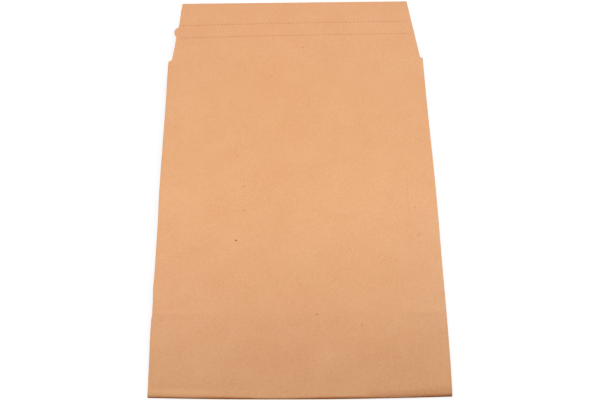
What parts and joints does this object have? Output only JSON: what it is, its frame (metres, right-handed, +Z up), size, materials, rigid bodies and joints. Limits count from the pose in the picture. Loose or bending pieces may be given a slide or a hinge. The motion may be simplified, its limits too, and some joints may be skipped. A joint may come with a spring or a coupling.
{
  "type": "gusseted kraft envelope",
  "caption": "Plain brown kraft paper mailing envelope with side gussets, lying flat with its tapered closure flap open, a perforated tear strip and a pull tab.",
  "frame": {"origin": "bottom centre of the overall box: the middle of the back's resting plane, half way between the bottom fold and the tip of the open flap", "axes": "+Z up out of the plain face, +Y from the bottom fold towards the open flap, +X to the right when the plain face is seen with the flap at the top"},
  "size_m": [0.25, 0.4286, 0.0089],
  "materials": {
    "kraft_paper": "matt brown kraft with fine fibres",
    "adhesive": "pale tacky film",
    "release_liner": "smooth white silicone-coated paper"
  },
  "bodies": {
    "root": {"folded_kraft_sheet": "kraft_paper", "seal_adhesive": "adhesive", "seal_liner": "release_liner", "return_adhesive": "adhesive", "return_liner": "release_liner"}
  },
  "joints": []
}
